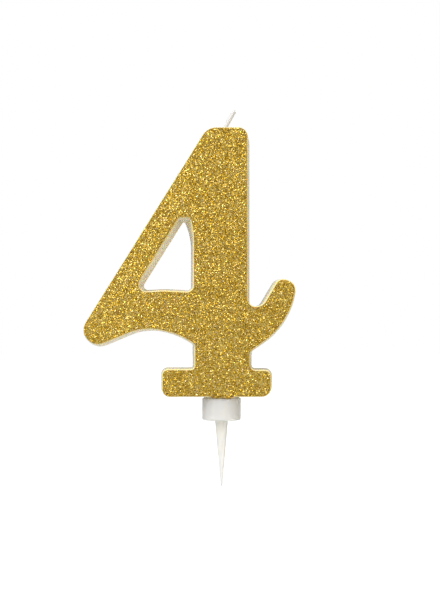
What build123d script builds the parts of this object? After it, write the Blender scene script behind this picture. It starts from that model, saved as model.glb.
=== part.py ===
from build123d import *
import os
from math import atan2, copysign, cos, hypot, pi, radians, sin, tan

# A number birthday candle: a cast wax numeral 4 with a wick, a glitter face laid in adhesive, and a
# moulded plastic holder, whose cup grips a wax peg and whose spike goes into the cake.
# Millimetres. +Z is up and -Y is the front. The origin is the centre of the cup's underside, which
# rests on the cake. "Across" is measured to the right from the holder's axis, seen from the front.

# Numeral: heights are above its underside, taken at the front edge of its wall.
numeral_height = 81.0
numeral_thickness = 12.0
side_draft = 0.9  # how much further out the back edge is, on walls that face sideways
level_draft = 0.35  # the same on walls that face up or down
counter_draft = 1.0
counter_top_draft = 0.2
edge_round = 0.3  # rounding between the face and the walls, and the rim that stays bare wax
back_round = 0.3
least_radius = 0.2  # in a hollow corner
least_straight = 0.01  # share of each side that its two roundings leave straight

stem_right = 7.8
stem_width = 16.3
stem_top_width = 12.1  # across the top, out to where the diagonal's side would meet it
diagonal_width = 7.2  # square to the diagonal
foot_reach = 48.1  # out to where the foot's two sides would meet
foot_height = 10.9
arm_top = 31.7  # the counter's floor
arm_hump = 0.5  # how much the middle of the counter's floor rises
counter_top = 53.8
counter_top_width = 3.4
counter_back_width = 2.3  # the same at the back, before the draft
counter_shoulder = 49.0  # where the counter's right side starts to lean in

# Hook: the arm's right end, measured from the stem's right side.
crotch_height = 27.2
crotch_width = 4.4
hook_inner = (9.5, 35.8)
hook_tip = (14.8, 34.4)
hook_shoulder = (12.5, 21.6)

# Neck and base
neck_left = 8.1
neck_right = 8.5
neck_top_left = 15.9
neck_top_right = 13.7
base_left = 17.9
base_right = 14.8
base_height = 8.3
base_slope = 0.3  # how much lower the base's top is at its right end
arch = [((-13.1, 18.8), 17.7), ((-23.0, 21.2), 16.5)]  # the bend under the arm, with its radii

# Coats on the face
adhesive_thickness = 0.1
glitter_thickness = 0.35

# Wick
wick_diameter = 1.4
wick_across = 0.0
wick_start = 5.0  # height of its lower end above the numeral's underside
wick_bend_depth = 1.0  # how far below the numeral's top it bends
wick_bend_radius = 3.0
wick_lean = 29.0  # degrees from upright, to the right
wick_free = 8.0  # length past the bend

# Holder
cup_diameter = 11.8
cup_height = 6.7
cup_wall = 0.75
cup_floor = 1.4
cup_edge_round = 0.6
cup_lip_round = 0.2
spike_diameter = 4.0
spike_length = 20.2
spike_bulge = 0.05  # how far the middle of the taper stands out of a straight cone
spike_tip_round = 0.2
rib_count = 4
rib_radius = 0.4
rib_gap = 0.8  # from the top of a rib to the cup's rim

# Fit of the numeral's peg in the cup
numeral_gap = 0.6  # from the cup's rim to the numeral's underside
peg_clearance = 0.05  # radial, to the cup and to the ribs
peg_end_gap = 0.3
peg_flare = 0.4  # how much wider the peg is where it joins the numeral
peg_chamfer = 0.4
peg_root = 2.0  # how far the peg runs up into the numeral

# Derived sizes
numeral_bottom = cup_height + numeral_gap
front = numeral_thickness / 2
bore_radius = cup_diameter / 2 - cup_wall
peg_radius = bore_radius - peg_clearance
peg_bottom = cup_floor + peg_end_gap
rib_top = cup_height - rib_gap
diagonal_rise = numeral_height - foot_height
diagonal_run = foot_reach + stem_right - stem_top_width
diagonal_angle = atan2(diagonal_rise, diagonal_run)


def from_stem(point):
    """A point given from the stem's right side, given from the holder's axis instead."""
    return (stem_right + point[0], point[1])


def numeral_corners():
    """The numeral's front edge: its corners clockwise from the top left, each with its radius."""
    neck_foot = base_height - base_slope * neck_right / base_right
    return [
        ((stem_right - stem_top_width, numeral_height), 4.8),
        ((stem_right, numeral_height), 2.7),
        ((stem_right, crotch_height), 2.4),
        ((stem_right + crotch_width, crotch_height), 3.4),
        (from_stem(hook_inner), 2.4),
        (from_stem(hook_tip), 3.2),
        (from_stem(hook_shoulder), 24.3),
        ((neck_right, neck_top_right), 2.1),
        ((neck_right, neck_foot), 1.8),
        ((base_right, base_height - base_slope), 1.8),
        ((base_right, 0), 2.7),
        ((-base_left, 0), 2.3),
        ((-base_left, base_height), 1.8),
        ((-neck_left, base_height), 1.2),
        ((-neck_left, neck_top_left), 1.6),
        *arch,
        ((-foot_reach, foot_height), 4.4),
    ]


def diagonal_inside(height):
    """How far across the diagonal's inner side is at this height."""
    outside = (height - foot_height) * diagonal_run / diagonal_rise - foot_reach
    return outside + diagonal_width / sin(diagonal_angle)


def counter_corners(top_width):
    """The counter's edge: a triangle between the diagonal, the stem and the arm, cut off at its top."""
    right = stem_right - stem_width
    low = arm_top - arm_hump / 2
    left = diagonal_inside(low)
    top_left = diagonal_inside(counter_top)
    return [
        ((top_left, counter_top), 1.15),
        ((top_left + top_width, counter_top), 1.3),
        ((right, counter_shoulder), 20.0),
        ((right, low), 2.0),
        (((left + right) / 2, arm_top + arm_hump / 2), 24.0),
        ((left, low), 2.2),
    ]


def moved_line(start, end, moves):
    """A point on the line from start to end and its direction, moved to its left.

    The moves are for a line whose left is sideways, for one whose left is up and for one whose left is
    down. They have the same sign.
    """
    sideways, upwards, downwards = moves
    length = hypot(end[0] - start[0], end[1] - start[1])
    along = ((end[0] - start[0]) / length, (end[1] - start[1]) / length)
    normal = (-along[1], along[0])
    level = upwards if normal[1] > 0 else downwards
    move = copysign(hypot(sideways * normal[0], level * normal[1]), sideways)
    return (start[0] + normal[0] * move, start[1] + normal[1] * move), along, move


def grown(corners, moves):
    """The same outline with every side moved outwards, or inwards where the moves are negative."""
    points = [point for point, _ in corners]
    count = len(points)
    lines = [moved_line(points[i], points[(i + 1) % count], moves) for i in range(count)]
    result = []
    for i, (_, radius) in enumerate(corners):
        (p, u, before), (q, v, after) = lines[i - 1], lines[i]
        turn = u[0] * v[1] - u[1] * v[0]
        reach = ((q[0] - p[0]) * v[1] - (q[1] - p[1]) * v[0]) / turn
        hollow = turn > 0
        if hollow:
            new_radius = max(radius - max(before, after), least_radius)
        else:
            new_radius = radius + min(before, after)
        result.append(((p[0] + u[0] * reach, p[1] + u[1] * reach), new_radius))
    return result


def limited_radii(corners):
    """Each corner's radius, made smaller only where it would run past the rounding at the next corner."""
    points = [Vector(*point) for point, _ in corners]
    count = len(points)
    sides = [points[(i + 1) % count] - points[i] for i in range(count)]
    turns = [sides[i - 1].get_angle(sides[i]) for i in range(count)]
    taken = [radius * tan(radians(turn) / 2) for (_, radius), turn in zip(corners, turns)]
    shares = []
    for i, side in enumerate(sides):
        room = side.length * (1 - least_straight)
        shares.append(min(1, room / (taken[i] + taken[(i + 1) % count])))
    return [radius * min(shares[i - 1], shares[i]) for i, (_, radius) in enumerate(corners)]


def outline_face(corners, depth):
    """A flat face with these rounded corners, depth in front of the numeral's middle plane."""
    points = [(across, numeral_bottom + up) for (across, up), _ in corners]
    edge = FilletPolyline(*points, radius=limited_radii(corners), close=True)
    return Plane.XZ.offset(depth) * make_face(edge.edges())


def walled(front_corners, back_corners):
    """A solid between these outlines in the numeral's front and back planes."""
    return loft([outline_face(front_corners, front), outline_face(back_corners, -front)], ruled=True)


def numeral():
    """The numeral with its counter, rounded along its front and back edges."""
    outer_back = grown(numeral_corners(), (side_draft, level_draft, level_draft))
    counter_moves = (-counter_draft, -counter_top_draft, -counter_draft)
    counter_back = grown(counter_corners(counter_back_width), counter_moves)
    body = walled(numeral_corners(), outer_back)
    body -= walled(counter_corners(counter_top_width), counter_back)
    face = body.faces().filter_by(Axis.Y).sort_by(Axis.Y)[0]
    body = fillet(face.edges(), edge_round)
    back = body.faces().filter_by(Axis.Y).sort_by(Axis.Y)[-1]
    return fillet(back.edges(), back_round)


def around_axis(points):
    """A solid turned round the Z axis, from points given as (radius, height)."""
    profile = Plane.XZ * make_face(Polyline(*points, close=True).edges())
    return revolve(profile, Axis.Z)


def rib_columns(radius, bottom, top):
    """Upright round columns on the cup's inner wall, one at each rib."""
    column = Cylinder(radius, top - bottom, align=(Align.CENTER, Align.CENTER, Align.MIN))
    places = PolarLocations(bore_radius, rib_count, start_angle=180 / rib_count)
    return places * (Pos(0, 0, bottom) * column)


def peg():
    """The wax peg under the numeral, with a flare where it joins and a groove for each rib."""
    joined = numeral_bottom + peg_root
    wide = peg_radius + peg_flare
    solid = around_axis(
        [
            (0, peg_bottom),
            (peg_radius - peg_chamfer, peg_bottom),
            (peg_radius, peg_bottom + peg_chamfer),
            (peg_radius, cup_height),
            (wide, numeral_bottom - level_draft),
            (wide, joined),
            (0, joined),
        ]
    )
    groove_top = rib_top + peg_end_gap
    for groove in rib_columns(rib_radius + peg_clearance, 0, groove_top):
        solid -= groove
    return solid


def wick():
    """The wick: straight up inside the wax, then leaning to the right where it comes out."""
    bend = numeral_bottom + numeral_height - wick_bend_depth
    lean = radians(wick_lean)
    start = (wick_across, 0, numeral_bottom + wick_start)
    tip = (wick_across + wick_free * sin(lean), 0, bend + wick_free * cos(lean))
    path = FilletPolyline(start, (wick_across, 0, bend), tip, radius=wick_bend_radius)
    section = Plane(start, z_dir=(0, 0, 1)) * Circle(wick_diameter / 2)
    return sweep(section, path=path)


def coat(depth, thickness):
    """A layer over the face, from depth outwards, which leaves the rounded edge bare."""
    outside = outline_face(grown(numeral_corners(), (-edge_round,) * 3), depth)
    inside = outline_face(grown(counter_corners(counter_top_width), (edge_round,) * 3), depth)
    return extrude(outside - inside, amount=thickness)


def spike():
    """The spike: a taper that swells a little in the middle and ends in a rounded point."""
    radius = spike_diameter / 2
    shoulder = (spike_tip_round, spike_tip_round - spike_length)
    swell = ((radius + spike_tip_round) / 2 + spike_bulge, shoulder[1] / 2)
    tip_middle = (spike_tip_round * sin(pi / 4), shoulder[1] - spike_tip_round * cos(pi / 4))
    side = ThreePointArc((radius, 0), swell, shoulder)
    tip = ThreePointArc(shoulder, tip_middle, (0, -spike_length))
    inner = Polyline((0, -spike_length), (0, cup_floor / 2), (radius, cup_floor / 2), (radius, 0))
    return revolve(Plane.XZ * make_face([side, tip, *inner.edges()]), Axis.Z)


def holder():
    """The holder: a round cup with crush ribs inside and the spike under it, in one moulding."""
    outer = cup_diameter / 2
    cup = around_axis(
        [
            (0, 0),
            (outer, 0),
            (outer, cup_height),
            (bore_radius, cup_height),
            (bore_radius, cup_floor),
            (0, cup_floor),
        ]
    )
    rims = cup.edges().group_by(Axis.Z)
    cup = fillet(rims[-1], cup_lip_round)
    cup = fillet(cup.edges().group_by(Axis.Z)[0], cup_edge_round)
    for rib in rib_columns(rib_radius, cup_floor / 2, rib_top):
        cup += rib
    return cup + spike()


def parts():
    """Every piece of the candle by name."""
    strand = wick()
    return {
        "wax_body": numeral() + peg() - strand,
        "wick": strand,
        "adhesive_coat": coat(front, adhesive_thickness),
        "glitter_coat": coat(front + adhesive_thickness, glitter_thickness),
        "holder": holder(),
    }


os.makedirs("parts", exist_ok=True)
for name, shape in parts().items():
    shape.label = name
    export_step(shape, f"parts/{name}.step")
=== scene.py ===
import math
import random

import bpy
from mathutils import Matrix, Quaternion, Vector, kdtree, noise
from mathutils.bvhtree import BVHTree


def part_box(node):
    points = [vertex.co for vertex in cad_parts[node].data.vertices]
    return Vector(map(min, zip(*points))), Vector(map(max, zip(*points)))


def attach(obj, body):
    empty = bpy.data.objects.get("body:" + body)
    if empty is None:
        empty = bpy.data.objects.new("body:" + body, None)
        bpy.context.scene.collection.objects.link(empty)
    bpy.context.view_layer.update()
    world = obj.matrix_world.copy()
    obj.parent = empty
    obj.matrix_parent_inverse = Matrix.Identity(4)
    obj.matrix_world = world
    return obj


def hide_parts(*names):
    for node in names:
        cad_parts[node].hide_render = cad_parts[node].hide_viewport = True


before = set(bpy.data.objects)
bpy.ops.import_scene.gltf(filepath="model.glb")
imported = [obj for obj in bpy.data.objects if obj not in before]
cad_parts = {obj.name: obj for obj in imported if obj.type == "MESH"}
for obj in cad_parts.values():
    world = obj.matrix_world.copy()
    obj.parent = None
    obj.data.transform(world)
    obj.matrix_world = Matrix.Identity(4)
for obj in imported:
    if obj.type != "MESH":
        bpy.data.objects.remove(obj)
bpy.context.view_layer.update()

# The looks of the number candle: glitter flakes, cast wax, a braided wick and the plastic holder.
# Metres, in the frame's axes: +Z up, -Y the glitter face, the origin at the cup's underside.

MM = 0.001
FORWARD = Vector((0, -1, 0))  # the way that the glitter face looks
COAT_LOW, COAT_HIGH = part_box("glitter_coat")
WAX_LOW, WAX_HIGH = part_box("wax_body")
HOLDER_LOW, HOLDER_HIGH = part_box("holder")
WICK_LOW, WICK_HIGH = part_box("wick")
BASE_BOTTOM = HOLDER_HIGH.z + 0.6 * MM  # the numeral's underside, a small gap above the cup

# Flakes
FLAKE_CORNERS = 4
FLAKE_RADIUS = (0.15 * MM, 0.22 * MM)
FLAKE_PITCH = 0.23 * MM
FLAKE_JITTER = 0.45 * FLAKE_PITCH  # how far a flake strays from its place in the lattice
FLAKE_DEPTH = 0.05 * MM  # how far the point of a flake's back reaches behind it
FLAKE_TILT = 18.0  # degrees, one standard deviation
FLAKE_LIFT = (0.01 * MM, 0.09 * MM)  # how far a flake lies above the coat
FACE_MARGIN = 0.15 * MM  # from the coat's edge to the middle of the nearest flake on its face
FACE_DEPTH = 0.05 * MM  # how far behind the coat's front a place still counts as on its face
EDGE_INSET = 0.16 * MM  # how far behind the coat's edge surface the middle of an edge flake lies
EDGE_TILT = 25.0  # degrees, one standard deviation
EDGE_FORWARD = (0.4, 1.6)  # how much an edge flake leans forwards, against 1 outwards
EDGE_SPACING = 0.28 * MM
SIDE_FACING = 0.5  # normals with less than this along Y, either way, are on the coat's edge
BAKE_REACH = 0.42  # from the middle of a flake's square in the texture map to its corners, in squares

# Each tone of flake is one piece, with a ramp of the shades that its flakes take
FLAKE_TONES = {
    "glitter_flakes_pale": [
        (0.0, (0.61, 0.42, 0.05)),
        (0.8, (0.83, 0.64, 0.17)),
        (0.93, (0.86, 0.71, 0.32)),
        (0.97, (0.82, 0.53, 0.28)),
        (1.0, (0.63, 0.59, 0.15)),
    ],
    "glitter_flakes_deep": [(0.0, (0.29, 0.145, 0.003)), (1.0, (0.68, 0.43, 0.03))],
}

# Glitter and glue that ran over the base's lower edge: across, half width and hang below the base
LUMPS = [(-1.6 * MM, 1.5 * MM, 0.35 * MM), (1.7 * MM, 1.7 * MM, 0.45 * MM)]
LUMP_DEPTH = 0.45 * MM
LUMP_SETBACK = 0.5 * MM  # from the coat's face back to a lump's middle
LUMP_RAISE = 0.1 * MM  # from the base's underside up to a lump's middle
LUMP_RINGS = 14
LUMP_SIDES = 24
LUMP_SWELL = 0.22  # share of the radius by which the surface goes in and out
LUMP_SWELL_SCALE = 2.3  # noise cycles along one radius
LUMP_SWELL_SHIFT = 900  # noise cycles per metre between lumps, so that they differ
LUMP_END = 1.02  # how far out a lump's two end points lie, in half widths
LUMP_FLAKES = 1.2  # flakes for each square of the flakes' pitch
LUMP_BACK = 0.3  # normals with more than this along Y are on a lump's back, which has no flakes

# Wax
WAX_MESH = 0.36 * MM
CLOUD_SHARE = 0.5  # how much of the wax's shade comes from its clouds
PAINTED_REFLECTION = 0.5  # painted reflection: how far the glitter's gold light, painted into the colour, shifts that shade at the face
PAINTED_REFLECTION_DEPTH = 1.2 * MM  # how far behind the face the painted gold reflection fades
BACK_FACING = 0.9  # normals with more than this along Y are on the poured back
FRONT_FACING = -0.5  # normals with less than this along Y are on the face
TOP_FACING = 0.7  # normals with more than this along Z are on the top
POUR_SINK = 0.22 * MM  # how far the poured back sinks inside its rim
POUR_RIM = 1.6 * MM  # how wide the rim is
WAX_RIPPLE = 0.035 * MM
WAX_RIPPLE_SCALE = 160  # cycles per metre
PIT_COUNT = 46
PIT_RADIUS = (0.35 * MM, 0.8 * MM)
PIT_DEPTH = (0.064 * MM, 0.16 * MM)
PIT_STEEPNESS = 1.6
PIT_REACH = 1.5  # how far out a pit presses the wax in, in radii
COLLAR_HEIGHT = 0.55 * MM  # wax drawn up round the wick
COLLAR_WIDTH = 0.6 * MM
COLLAR_ZONE = 1.5 * MM  # how far below the wax's highest point the collar may lie
PEG_MARGIN = 0.2 * MM  # the wax is left as it is lower than this below the base

# Wick
WICK_RADIUS = 0.7 * MM
WICK_LEAN = math.radians(29)
WICK_BEND_RADIUS = 3.0 * MM
WICK_FREE = 8.0 * MM  # from the bend's corner to the tip
WICK_SIDES = 48
WICK_STEP = 0.05 * MM
BRAID_START = 4 * MM  # how far below the bend's corner the braid starts, inside the wax
BRAID_STRANDS = 4  # each way round
BRAID_PITCH = 4.4 * MM
BRAID_DEPTH = 0.13  # share of the radius
BRAID_CROSSING = 0.35  # how much a strand rises or sinks where it crosses another
TIP_OPENING = 0.10  # how much wider the cut end opens, as a share of the radius
TIP_OPENING_LENGTH = 0.5 * MM
TIP_CUT = 0.45  # share of the radius that is left at the very end
TIP_CUT_LENGTH = 0.25 * MM
FRAY_COUNT = 16
FRAY_CORNERS = 4
FRAY_PLACE = (0.1, 0.6)  # share of the wick's radius
FRAY_ROOT = 0.15 * MM  # how far a fibre is buried in the wick's end
FRAY_LEAN = (0.0, 0.5)
FRAY_LENGTH = (0.25 * MM, 0.8 * MM)
FRAY_THICKNESS = (0.04 * MM, 0.07 * MM)

# Stage
CAMERA_PLACE = (-0.46 * MM, -336 * MM, 24.4 * MM)
CAMERA_LENS = 66.0
CAMERA_SENSOR = 36.0
CAMERA_SHIFT = 0.0667
WORLD_SEEN = 1.0
WORLD_GIVEN = 0.30  # the strength of the light that the world gives
FLOOR_GREY = 0.62
FLOOR_REACH = 3.0
FLOOR_LIFT = 0.62  # what is added to the floor where the camera looks
WHITE = (1, 1, 1)

# Suns: the direction that the light comes from, strength and spread in degrees. The front one falls on
# the holder and the wick alone.
SKY = ((-0.35, -0.45, 1.0), 2.6, 50)
FRONT = ((0.25, -1.0, 0.0), 1.2, 120)

# Square area lights: place, what the light points at, size, power and colour
AREA_LIGHTS = {
    "key": ((-0.17, -0.24, 0.17), (0, 0, 0.05), 0.14, 0.35, WHITE),
    "fill": ((0.35, -0.35, 0.02), (0, 0, 0.03), 0.25, 0.5, (1, 0.83, 0.57)),
    "back": ((0.25, 0.35, 0.30), (0, 0, 0.05), 0.25, 0.6, WHITE),
}

rng = random.Random(4)


# ---------------------------------------------------------------- nodes and materials

class Nodes:
    """A material with short calls for adding and linking its nodes."""

    def __init__(self, name):
        self.material = bpy.data.materials.new(name)
        self.material.use_nodes = True
        self.tree = self.material.node_tree
        self.shader = self.tree.nodes["Principled BSDF"]

    def add(self, kind, **values):
        """A node of this kind. Values are named after its properties or, with _ for spaces, its inputs."""
        node = self.tree.nodes.new("ShaderNode" + kind)
        for name, value in values.items():
            if hasattr(node, name):
                setattr(node, name, value)
            else:
                node.inputs[name.replace("_", " ")].default_value = value
        return node

    def link(self, source, target):
        self.tree.links.new(source, target)

    def set(self, **values):
        """Values on the Principled shader's own sockets."""
        for name, value in values.items():
            self.shader.inputs[name.replace("_", " ")].default_value = value

    def colour(self, factor, stops):
        """The base colour from a ramp over factor, with stops of (position, (r, g, b))."""
        node = self.add("ValToRGB")
        elements = node.color_ramp.elements
        while len(elements) < len(stops):
            elements.new(1.0)
        for element, (position, colour) in zip(elements, stops):
            element.position = position
            element.color = (*colour, 1.0)
        self.link(factor, node.inputs["Fac"])
        self.link(node.outputs["Color"], self.shader.inputs["Base Color"])

    def noise(self, scale, detail=3.0, stretch=(1, 1, 1)):
        """Noise over the piece's own coordinates, with scale in cycles per metre."""
        place = self.add("TexCoord")
        spread = self.add("Mapping")
        spread.inputs["Scale"].default_value = stretch
        node = self.add("TexNoise", Scale=scale, Detail=detail)
        self.link(place.outputs["Object"], spread.inputs["Vector"])
        self.link(spread.outputs["Vector"], node.inputs["Vector"])
        return node.outputs["Fac"]

    def bump(self, height, strength, distance):
        node = self.add("Bump", Strength=strength, Distance=distance)
        self.link(height, node.inputs["Height"])
        self.link(node.outputs["Normal"], self.shader.inputs["Normal"])

    def roughness(self, factor, low, high):
        """Roughness from low to high as factor goes from 0 to 1."""
        node = self.add("MapRange", To_Min=low, To_Max=high)
        self.link(factor, node.inputs["Value"])
        self.link(node.outputs["Result"], self.shader.inputs["Roughness"])


def flake_material(name, stops):
    """Metallised film: each flake has a shade of its own."""
    m = Nodes(name)
    m.colour(m.add("NewGeometry").outputs["Random Per Island"], stops)
    m.set(Metallic=1.0, Roughness=0.34, Coat_Weight=0.25, Coat_Roughness=0.25)
    return m.material


def glitter_bed_material():
    """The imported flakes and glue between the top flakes."""
    m = Nodes("glitter_bed")
    grain = m.noise(2600.0, 2.0)
    m.colour(grain, [(0.35, (0.20, 0.09, 0.008)), (0.65, (0.55, 0.32, 0.05))])
    m.set(Metallic=0.8)
    m.roughness(grain, 0.35, 0.6)
    m.bump(grain, 1.0, 0.1 * MM)
    return m.material


def adhesive_material():
    """Clear glue, tinted by the glitter in it."""
    m = Nodes("adhesive")
    m.colour(m.noise(900.0), [(0.3, (0.70, 0.52, 0.22)), (0.7, (0.88, 0.76, 0.48))])
    m.set(Roughness=0.25, Coat_Weight=0.6)
    return m.material


def wax_material():
    """Cast paraffin: cream, cloudy, light goes a little way in, and a painted reflection of the glitter's
    gold colours its front rim.
    """
    m = Nodes("wax")
    # painted reflection: the rim attribute brings the glitter's gold light into the wax's base colour
    rim = m.add("Attribute", attribute_name="rim")
    shade = m.add("Math", operation="MULTIPLY_ADD")
    m.link(m.noise(110.0, 4.0), shade.inputs[0])
    shade.inputs[1].default_value = CLOUD_SHARE
    m.link(rim.outputs["Fac"], shade.inputs[2])
    cream = [(0.15, (0.79, 0.715, 0.51)), (0.35, (0.84, 0.775, 0.58))]
    painted_reflection_stop = (0.75, (0.84, 0.65, 0.22))
    m.colour(shade.outputs["Value"], [*cream, painted_reflection_stop])
    m.set(Subsurface_Weight=0.8, Subsurface_Scale=1.6 * MM, Subsurface_Radius=(1.0, 0.75, 0.45))
    m.roughness(m.noise(700.0, 4.0), 0.34, 0.52)
    m.bump(m.noise(1700.0, 5.0), 0.12, 0.03 * MM)
    return m.material


def wick_material():
    """White cotton under a thin coat of wax."""
    m = Nodes("wick")
    fibre = m.noise(3000.0, 4.0)
    m.colour(fibre, [(0.3, (0.54, 0.53, 0.52)), (0.7, (0.64, 0.63, 0.62))])
    m.set(Subsurface_Weight=1.0, Subsurface_Scale=0.8 * MM, Subsurface_Radius=(1.0, 1.0, 1.0))
    m.roughness(fibre, 0.45, 0.7)
    m.bump(fibre, 0.3, 0.04 * MM)
    return m.material


def plastic_material():
    """Frosted polypropylene, milky and partly see-through, with faint flow lines down it."""
    m = Nodes("plastic")
    flow = m.noise(500.0, 3.0, stretch=(1, 1, 0.12))
    m.colour(flow, [(0.3, (0.91, 0.885, 0.825)), (0.7, (0.96, 0.94, 0.885))])
    m.set(Transmission_Weight=0.35, IOR=1.49)
    m.set(Subsurface_Weight=1.0, Subsurface_Scale=2.5 * MM, Subsurface_Radius=(1.0, 0.95, 0.85))
    m.roughness(flow, 0.34, 0.48)
    return m.material


# ---------------------------------------------------------------- pieces

def object_from(name, vertices, faces, material, body):
    """A piece with these vertices and faces."""
    mesh = bpy.data.meshes.new(name)
    mesh.from_pydata(vertices, [], faces)
    return piece_from(name, mesh, material, body)


def piece_from(name, mesh, material, body):
    """A piece that rides on a body, with one material."""
    mesh.materials.clear()
    mesh.materials.append(material)
    piece = bpy.data.objects.new(name, mesh)
    bpy.context.scene.collection.objects.link(piece)
    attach(piece, body)
    return piece


def finish_node(node, material):
    """Gives a CAD node its material."""
    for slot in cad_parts[node].material_slots:
        slot.material = material


def tree_of(mesh, polygons):
    """A tree for finding places on these polygons of a mesh."""
    return BVHTree.FromPolygons([v.co for v in mesh.vertices], [p.vertices for p in polygons])


# ---------------------------------------------------------------- glitter

def tilted(normal, degrees):
    """A direction at a random angle to the normal, with degrees as the standard deviation."""
    tilt = math.radians(abs(rng.gauss(0, degrees)))
    across = normal.orthogonal().normalized()
    across.rotate(Quaternion(normal, rng.uniform(0, math.tau)))
    return normal * math.cos(tilt) + across * math.sin(tilt)


def coat_edge():
    """The glitter coat's mesh, and the faces of it that look sideways."""
    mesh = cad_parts["glitter_coat"].data
    return mesh, [p for p in mesh.polygons if abs(p.normal.y) < SIDE_FACING]


def strayed(value):
    """The value with a random stray either way."""
    return value + rng.uniform(-FLAKE_JITTER, FLAKE_JITTER)


def face_spots():
    """Places over the coat's face on a jittered lattice, with the way a flake there faces."""
    mesh, sideways = coat_edge()
    coat = tree_of(mesh, mesh.polygons)
    edge = tree_of(mesh, sideways)
    middle = (COAT_LOW.y + COAT_HIGH.y) / 2
    row_height = FLAKE_PITCH * math.sqrt(3) / 2
    rows = int((COAT_HIGH.z - COAT_LOW.z) / row_height) + 2
    columns = int((COAT_HIGH.x - COAT_LOW.x) / FLAKE_PITCH) + 2
    spots = []
    for row in range(rows):
        for column in range(columns):
            x = strayed(COAT_LOW.x + (column + 0.5 * (row % 2)) * FLAKE_PITCH)
            z = strayed(COAT_LOW.z + row * row_height)
            place = Vector((x, COAT_LOW.y, z))
            hit = coat.ray_cast(place + FORWARD * MM, -FORWARD, MM + FACE_DEPTH)[0]
            if hit is not None and edge.find_nearest(Vector((x, middle, z)))[3] > FACE_MARGIN:
                spots.append((place, tilted(FORWARD, FLAKE_TILT)))
    return spots


def edge_spots():
    """Places on the coat's narrow edge, with flakes that lean between outwards and forwards."""
    mesh, sideways = coat_edge()
    spots = []
    for polygon in sideways:
        corners = [mesh.vertices[i].co for i in polygon.vertices]
        for _ in range(int(polygon.area / EDGE_SPACING**2 + rng.random())):
            shares = [rng.random() for _ in corners]
            place = sum((c * s for c, s in zip(corners, shares)), Vector()) / sum(shares)
            leaning = (polygon.normal + FORWARD * rng.uniform(*EDGE_FORWARD)).normalized()
            spots.append((place - polygon.normal * EDGE_INSET, tilted(leaning, EDGE_TILT)))
    return spots


def add_lump(centre, size, vertices, faces):
    """Adds one closed, uneven ellipsoid of rings across X, with a point at each end."""
    first = len(vertices)
    for ring in range(1, LUMP_RINGS):
        polar = math.pi * ring / LUMP_RINGS
        for side in range(LUMP_SIDES):
            around = math.tau * side / LUMP_SIDES
            out = math.sin(polar)
            way = Vector((math.cos(polar), out * math.cos(around), out * math.sin(around)))
            swell = noise.noise(way * LUMP_SWELL_SCALE + centre * LUMP_SWELL_SHIFT)
            vertices.append(centre + way * size * (1 + LUMP_SWELL * swell))
    right, left = len(vertices), len(vertices) + 1
    reach = Vector((size.x * LUMP_END, 0, 0))
    vertices += [centre + reach, centre - reach]
    for ring in range(LUMP_RINGS - 2):
        for side in range(LUMP_SIDES):
            a = first + ring * LUMP_SIDES + side
            b = first + ring * LUMP_SIDES + (side + 1) % LUMP_SIDES
            faces.append((a, a + LUMP_SIDES, b + LUMP_SIDES, b))
    last = first + (LUMP_RINGS - 2) * LUMP_SIDES
    for side in range(LUMP_SIDES):
        following = (side + 1) % LUMP_SIDES
        faces.append((right, first + side, first + following))
        faces.append((left, last + following, last + side))


def overspill_mesh():
    """Lumps of glue and flakes that hang over the base's front lower edge."""
    vertices = []
    faces = []
    for across, half_width, hang in LUMPS:
        centre = Vector((across, COAT_LOW.y + LUMP_SETBACK, BASE_BOTTOM + LUMP_RAISE))
        add_lump(centre, Vector((half_width, LUMP_DEPTH, hang + LUMP_RAISE)), vertices, faces)
    return vertices, faces


def overspill_spots(vertices, faces):
    """Places all over the lumps, apart from their backs, for the flakes in them."""
    spots = []
    for face in faces:
        corners = [vertices[i] for i in face]
        normal = (corners[1] - corners[0]).cross(corners[2] - corners[0])
        area = normal.length
        if normal.y > LUMP_BACK * area or area == 0:
            continue
        if rng.random() < area / FLAKE_PITCH**2 * LUMP_FLAKES:
            place = sum(corners, Vector()) / len(corners)
            spots.append((place, tilted(normal.normalized(), FLAKE_TILT)))
    return spots


def add_flake(place, facing, vertices, faces):
    """Adds one closed flake, whose back is a low pyramid."""
    turned = facing.to_track_quat("Z", "Y").to_matrix()
    centre = place + facing * rng.uniform(*FLAKE_LIFT)
    radius = rng.uniform(*FLAKE_RADIUS)
    spin = rng.uniform(0, math.tau)
    first = len(vertices)
    for corner in range(FLAKE_CORNERS):
        angle = spin + corner * math.tau / FLAKE_CORNERS
        vertices.append(centre + turned @ Vector((radius * math.cos(angle), radius * math.sin(angle), 0)))
    vertices.append(centre - facing * FLAKE_DEPTH)
    faces.append([first + corner for corner in range(FLAKE_CORNERS)])
    for corner in range(FLAKE_CORNERS):
        faces.append([first + (corner + 1) % FLAKE_CORNERS, first + corner, first + FLAKE_CORNERS])


def lay_bake_map(mesh, flakes):
    """A texture map with a square of its own for every flake, seen face on."""
    cells = math.ceil(math.sqrt(flakes))
    layer = mesh.uv_layers.new(name="OFBake")
    for loop in mesh.loops:
        flake, corner = divmod(loop.vertex_index, FLAKE_CORNERS + 1)
        row, column = divmod(flake, cells)
        angle = corner * math.tau / FLAKE_CORNERS
        reach = 0 if corner == FLAKE_CORNERS else BAKE_REACH
        place = (column + 0.5 + reach * math.cos(angle), row + 0.5 + reach * math.sin(angle))
        layer.data[loop.index].uv = (place[0] / cells, place[1] / cells)


def make_glitter():
    """The overspill, and the flakes on it and on the coat, with one piece for each of their tones."""
    lump_vertices, lump_faces = overspill_mesh()
    bed = glitter_bed_material()
    object_from("glitter_overspill", lump_vertices, lump_faces, bed, "candle")
    spots = face_spots() + edge_spots() + overspill_spots(lump_vertices, lump_faces)
    meshes = {name: ([], []) for name in FLAKE_TONES}
    for place, facing in spots:
        add_flake(place, facing, *meshes[rng.choice(list(FLAKE_TONES))])
    for name, (vertices, faces) in meshes.items():
        film = flake_material(name, FLAKE_TONES[name])
        piece = object_from(name, vertices, faces, film, "candle")
        lay_bake_map(piece.data, len(vertices) // (FLAKE_CORNERS + 1))


# ---------------------------------------------------------------- wax

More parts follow.
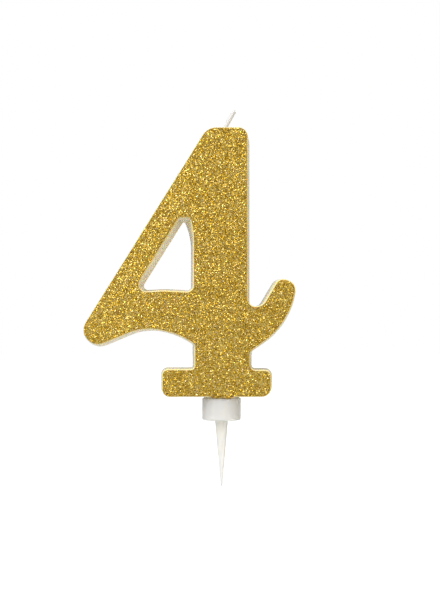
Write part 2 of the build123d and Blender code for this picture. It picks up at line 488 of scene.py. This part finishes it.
def even_copy(node, spacing):
    """A copy of a CAD node's mesh with small, even faces."""
    copy = bpy.data.objects.new("even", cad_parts[node].data.copy())
    bpy.context.scene.collection.objects.link(copy)
    remesh = copy.modifiers.new("even", "REMESH")
    remesh.mode = "VOXEL"
    remesh.voxel_size = spacing
    remesh.use_smooth_shade = True
    bpy.context.view_layer.update()
    mesh = bpy.data.meshes.new_from_object(copy.evaluated_get(bpy.context.evaluated_depsgraph_get()))
    bpy.data.objects.remove(copy)
    return mesh


def on_surface(mesh, node):
    """For each vertex, the nearest place on a CAD node's surface and the surface's normal there."""
    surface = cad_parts[node].data
    tree = tree_of(surface, surface.polygons)
    hits = [tree.find_nearest(vertex.co) for vertex in mesh.vertices]
    return [hit[0] for hit in hits], [hit[1] for hit in hits]


def finder_of(places, chosen):
    """A finder for the chosen ones of these places."""
    finder = kdtree.KDTree(len(places))
    for i in chosen:
        finder.insert(places[i], i)
    finder.balance()
    return finder


def collar(place):
    """How far the wax is drawn up round the wick at this place."""
    axis = Vector((WICK_LOW.x + WICK_RADIUS, 0))
    away = (place.xy - axis).length - WICK_RADIUS
    return COLLAR_HEIGHT * math.exp(-max(away, 0) / COLLAR_WIDTH)


def casting_move(place, normal, rim):
    """How far the casting stands out here: its ripple, its sunken back and its collar."""
    move = WAX_RIPPLE * noise.fractal(place * WAX_RIPPLE_SCALE, 1.0, 2.0, 2)
    if normal.y > BACK_FACING:
        inside = rim.find(place)[2]
        move -= POUR_SINK * (1 - math.exp(-((inside / POUR_RIM) ** 2)))
    if normal.z > TOP_FACING and place.z > WAX_HIGH.z - COLLAR_ZONE:
        move += collar(place)
    return move


def press_pits(moves, places, normals, free):
    """Small round hollows, left by air bubbles, in the poured back."""
    back = [place for place, normal in zip(places, normals) if normal.y > BACK_FACING]
    finder = finder_of(places, range(len(places)))
    for centre in rng.sample(back, PIT_COUNT):
        radius = rng.uniform(*PIT_RADIUS)
        depth = rng.uniform(*PIT_DEPTH)
        for _, i, away in finder.find_range(centre, radius * PIT_REACH):
            if free[i]:
                moves[i] -= depth * math.exp(-((away / radius * PIT_STEEPNESS) ** 2))


def make_wax():
    """The casting: a smooth front and walls, and a poured back that sank a little as it set."""
    mesh = even_copy("wax_body", WAX_MESH)
    places, normals = on_surface(mesh, "wax_body")
    rim = finder_of(places, [i for i, normal in enumerate(normals) if normal.y < BACK_FACING])
    lowest = BASE_BOTTOM - PEG_MARGIN
    free = [place.z > lowest and normal.y > FRONT_FACING for place, normal in zip(places, normals)]
    moves = [casting_move(p, n, rim) if moving else 0.0 for p, n, moving in zip(places, normals, free)]
    press_pits(moves, places, normals, free)
    for vertex, place, normal, move in zip(mesh.vertices, places, normals, moves):
        vertex.co = place + normal * move
    for polygon in mesh.polygons:
        polygon.use_smooth = True
    # painted reflection: a gold share that fades behind the face and stands in for light reflected from the
    # glitter
    painted_reflection_share = mesh.attributes.new("rim", "FLOAT", "POINT")
    painted_reflection_share.data.foreach_set("value", [PAINTED_REFLECTION * math.exp((WAX_LOW.y - p.y) / PAINTED_REFLECTION_DEPTH) for p in places])
    piece = piece_from("cast_wax", mesh, wax_material(), "candle")
    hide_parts("wax_body")


# ---------------------------------------------------------------- wick

def wick_path():
    """The points of the wick's centreline, from its lower end to its tip."""
    x = WICK_LOW.x + WICK_RADIUS
    tip_x = WICK_HIGH.x - WICK_RADIUS * math.cos(WICK_LEAN)
    tip = Vector((tip_x, 0, WICK_HIGH.z - WICK_RADIUS * math.sin(WICK_LEAN)))
    bend = tip - Vector((math.sin(WICK_LEAN), 0, math.cos(WICK_LEAN))) * WICK_FREE
    arc_low = Vector((x, 0, bend.z - WICK_BEND_RADIUS * math.tan(WICK_LEAN / 2)))
    points = [Vector((x, 0, WICK_LOW.z)), Vector((x, 0, bend.z - BRAID_START))]
    height = points[-1].z + WICK_STEP
    while height < arc_low.z:
        points.append(Vector((x, 0, height)))
        height += WICK_STEP
    arc_steps = round(WICK_BEND_RADIUS * WICK_LEAN / WICK_STEP)
    for i in range(arc_steps + 1):
        turn = WICK_LEAN * i / arc_steps
        points.append(arc_low + Vector((1 - math.cos(turn), 0, math.sin(turn))) * WICK_BEND_RADIUS)
    start = points[-1]
    straight_steps = round((tip - start).length / WICK_STEP)
    points += [start.lerp(tip, (i + 1) / straight_steps) for i in range(straight_steps)]
    return points


def braid(around, along):
    """How far the surface of a round braid stands out at this place, from 0 to 1."""
    u = BRAID_STRANDS * around / math.tau + along / BRAID_PITCH * BRAID_STRANDS
    v = BRAID_STRANDS * around / math.tau - along / BRAID_PITCH * BRAID_STRANDS
    over = math.cos(math.pi * u) * math.cos(math.pi * v)
    first = math.cos(math.pi * u) ** 2 * (1 + BRAID_CROSSING * over)
    second = math.cos(math.pi * v) ** 2 * (1 - BRAID_CROSSING * over)
    return max(first, second) / (1 + BRAID_CROSSING)


def tip_share(left):
    """The share of its radius that the wick has this far from its tip, where it opens and is cut."""
    opened = 1 + TIP_OPENING * math.exp(-left / TIP_OPENING_LENGTH)
    cut = TIP_CUT + (1 - TIP_CUT) * math.sqrt(left / TIP_CUT_LENGTH)
    return opened * min(1.0, cut)


def outwards(heading, around):
    """The direction at this angle round a line that heads this way in the XZ plane."""
    sideways = Vector((heading.z, 0, -heading.x))
    return sideways * math.cos(around) + Vector((0, 1, 0)) * math.sin(around)


def add_fray(tip, heading, vertices, faces):
    """Short loose fibres at the wick's cut end, each a thin closed spike."""
    for _ in range(FRAY_COUNT):
        out = outwards(heading, rng.uniform(0, math.tau))
        root = tip + out * WICK_RADIUS * rng.uniform(*FRAY_PLACE) - heading * FRAY_ROOT
        way = (heading + out * rng.uniform(*FRAY_LEAN)).normalized()
        end = root + way * rng.uniform(*FRAY_LENGTH)
        thickness = rng.uniform(*FRAY_THICKNESS)
        first = len(vertices)
        for corner in range(FRAY_CORNERS):
            vertices.append(root + outwards(heading, corner * math.tau / FRAY_CORNERS) * thickness)
        vertices.append(end)
        faces.append([first + corner for corner in reversed(range(FRAY_CORNERS))])
        for corner in range(FRAY_CORNERS):
            faces.append([first + corner, first + (corner + 1) % FRAY_CORNERS, first + FRAY_CORNERS])


def wick_rings(points):
    """The braid's surface: a ring of vertices round each point of the wick's path."""
    lengths = [0.0]
    for start, end in zip(points, points[1:]):
        lengths.append(lengths[-1] + (end - start).length)
    vertices = []
    for ring, (point, along) in enumerate(zip(points, lengths)):
        heading = (points[min(ring + 1, len(points) - 1)] - points[max(ring - 1, 0)]).normalized()
        share = tip_share(lengths[-1] - along)
        braided = point.z > points[1].z
        for side in range(WICK_SIDES):
            around = math.tau * side / WICK_SIDES
            depth = BRAID_DEPTH * (1 - braid(around, along)) if braided else 0.0
            vertices.append(point + outwards(heading, around) * (WICK_RADIUS * (1 - depth) * share))
    return vertices


def make_wick():
    """A round cotton braid, stiff with wax, whose cut end has opened a little."""
    points = wick_path()
    vertices = wick_rings(points)
    faces = []
    for ring in range(len(points) - 1):
        for side in range(WICK_SIDES):
            a = ring * WICK_SIDES + side
            b = ring * WICK_SIDES + (side + 1) % WICK_SIDES
            faces.append((a, b, b + WICK_SIDES, a + WICK_SIDES))
    faces.append(list(reversed(range(WICK_SIDES))))
    faces.append([(len(points) - 1) * WICK_SIDES + side for side in range(WICK_SIDES)])
    add_fray(points[-1], (points[-1] - points[-2]).normalized(), vertices, faces)
    piece = object_from("braided_wick", vertices, faces, wick_material(), "candle")
    for polygon in piece.data.polygons:
        polygon.use_smooth = len(polygon.vertices) == 4
    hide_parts("wick")
    return piece


# ---------------------------------------------------------------- stage

def make_camera():
    """Straight on to the face, from low on the numeral."""
    data = bpy.data.cameras.new("camera")
    data.lens = CAMERA_LENS
    data.sensor_width = CAMERA_SENSOR
    data.shift_y = CAMERA_SHIFT
    data.clip_start = 0.01
    camera = bpy.data.objects.new("camera", data)
    camera.location = CAMERA_PLACE
    camera.rotation_euler = (math.pi / 2, 0, 0)
    bpy.context.scene.collection.objects.link(camera)
    bpy.context.scene.camera = camera


def area_light(name, place, target, size, power, colour):
    """A soft square light at this place that points at the target."""
    data = bpy.data.lights.new(name, "AREA")
    data.shape = "SQUARE"
    data.size = size
    data.energy = power
    data.color = colour
    light = bpy.data.objects.new(name, data)
    light.location = place
    light.rotation_euler = (Vector(target) - Vector(place)).to_track_quat("-Z", "Y").to_euler()
    bpy.context.scene.collection.objects.link(light)


def sun_light(name, direction, strength, spread):
    """Even light from this direction, with its spread in degrees."""
    data = bpy.data.lights.new(name, "SUN")
    data.energy = strength
    data.angle = math.radians(spread)
    light = bpy.data.objects.new(name, data)
    light.rotation_euler = Vector(direction).to_track_quat("Z", "Y").to_euler()
    bpy.context.scene.collection.objects.link(light)
    return light


def only_on(light, pieces):
    """Makes a light fall on these pieces alone."""
    lit = bpy.data.collections.new(light.name + "_lit")
    for piece in pieces:
        lit.objects.link(piece)
    light.light_linking.receiver_collection = lit


def looking_rays(tree):
    """A factor that is 1 for rays straight from the camera and through see-through pieces, else 0."""
    path = tree.nodes.new("ShaderNodeLightPath")
    either = tree.nodes.new("ShaderNodeMath")
    either.operation = "MAXIMUM"
    tree.links.new(path.outputs["Is Camera Ray"], either.inputs[0])
    tree.links.new(path.outputs["Is Transmission Ray"], either.inputs[1])
    return either.outputs["Value"]


def background(tree, strength):
    """White of this strength all round."""
    node = tree.nodes.new("ShaderNodeBackground")
    node.inputs["Color"].default_value = (*WHITE, 1)
    node.inputs["Strength"].default_value = strength
    return node.outputs["Background"]


def make_world():
    """White where the camera looks, and a softer grey for the light that it gives."""
    world = bpy.data.worlds.new("world")
    world.use_nodes = True
    bpy.context.scene.world = world
    tree = world.node_tree
    tree.nodes.clear()
    output = tree.nodes.new("ShaderNodeOutputWorld")
    mix = tree.nodes.new("ShaderNodeMixShader")
    tree.links.new(looking_rays(tree), mix.inputs["Fac"])
    tree.links.new(background(tree, WORLD_GIVEN), mix.inputs[1])
    tree.links.new(background(tree, WORLD_SEEN), mix.inputs[2])
    tree.links.new(mix.outputs["Shader"], output.inputs["Surface"])


def floor_material():
    """Pale and matt. What the camera sees of it is lifted to the white of the world behind."""
    m = Nodes("floor")
    m.set(Base_Color=(FLOOR_GREY, FLOOR_GREY, FLOOR_GREY, 1), Roughness=0.9)
    white = m.add("Emission", Strength=FLOOR_LIFT)
    lifted = m.add("AddShader")
    choice = m.add("MixShader")
    output = m.tree.nodes["Material Output"]
    m.link(m.shader.outputs["BSDF"], lifted.inputs[0])
    m.link(white.outputs["Emission"], lifted.inputs[1])
    m.link(looking_rays(m.tree), choice.inputs["Fac"])
    m.link(m.shader.outputs["BSDF"], choice.inputs[1])
    m.link(lifted.outputs["Shader"], choice.inputs[2])
    m.link(choice.outputs["Shader"], output.inputs["Surface"])
    return m.material


def make_floor():
    """A wide square at the height of the spike's point."""
    corners = [(-1, -1), (1, -1), (1, 1), (-1, 1)]
    places = [(x * FLOOR_REACH, y * FLOOR_REACH, HOLDER_LOW.z) for x, y in corners]
    mesh = bpy.data.meshes.new("floor")
    mesh.from_pydata(places, [], [(0, 1, 2, 3)])
    mesh.materials.append(floor_material())
    floor = bpy.data.objects.new("floor", mesh)
    bpy.context.scene.collection.objects.link(floor)


bpy.context.scene.view_settings.view_transform = "Standard"
make_camera()
make_world()
make_floor()
sun_light("sky", *SKY)
for light_name, setup in AREA_LIGHTS.items():
    area_light(light_name, *setup)

make_wax()
braided_wick = make_wick()
finish_node("adhesive_coat", adhesive_material())
finish_node("glitter_coat", glitter_bed_material())
finish_node("holder", plastic_material())
make_glitter()
only_on(sun_light("front", *FRONT), [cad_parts["holder"], braided_wick])
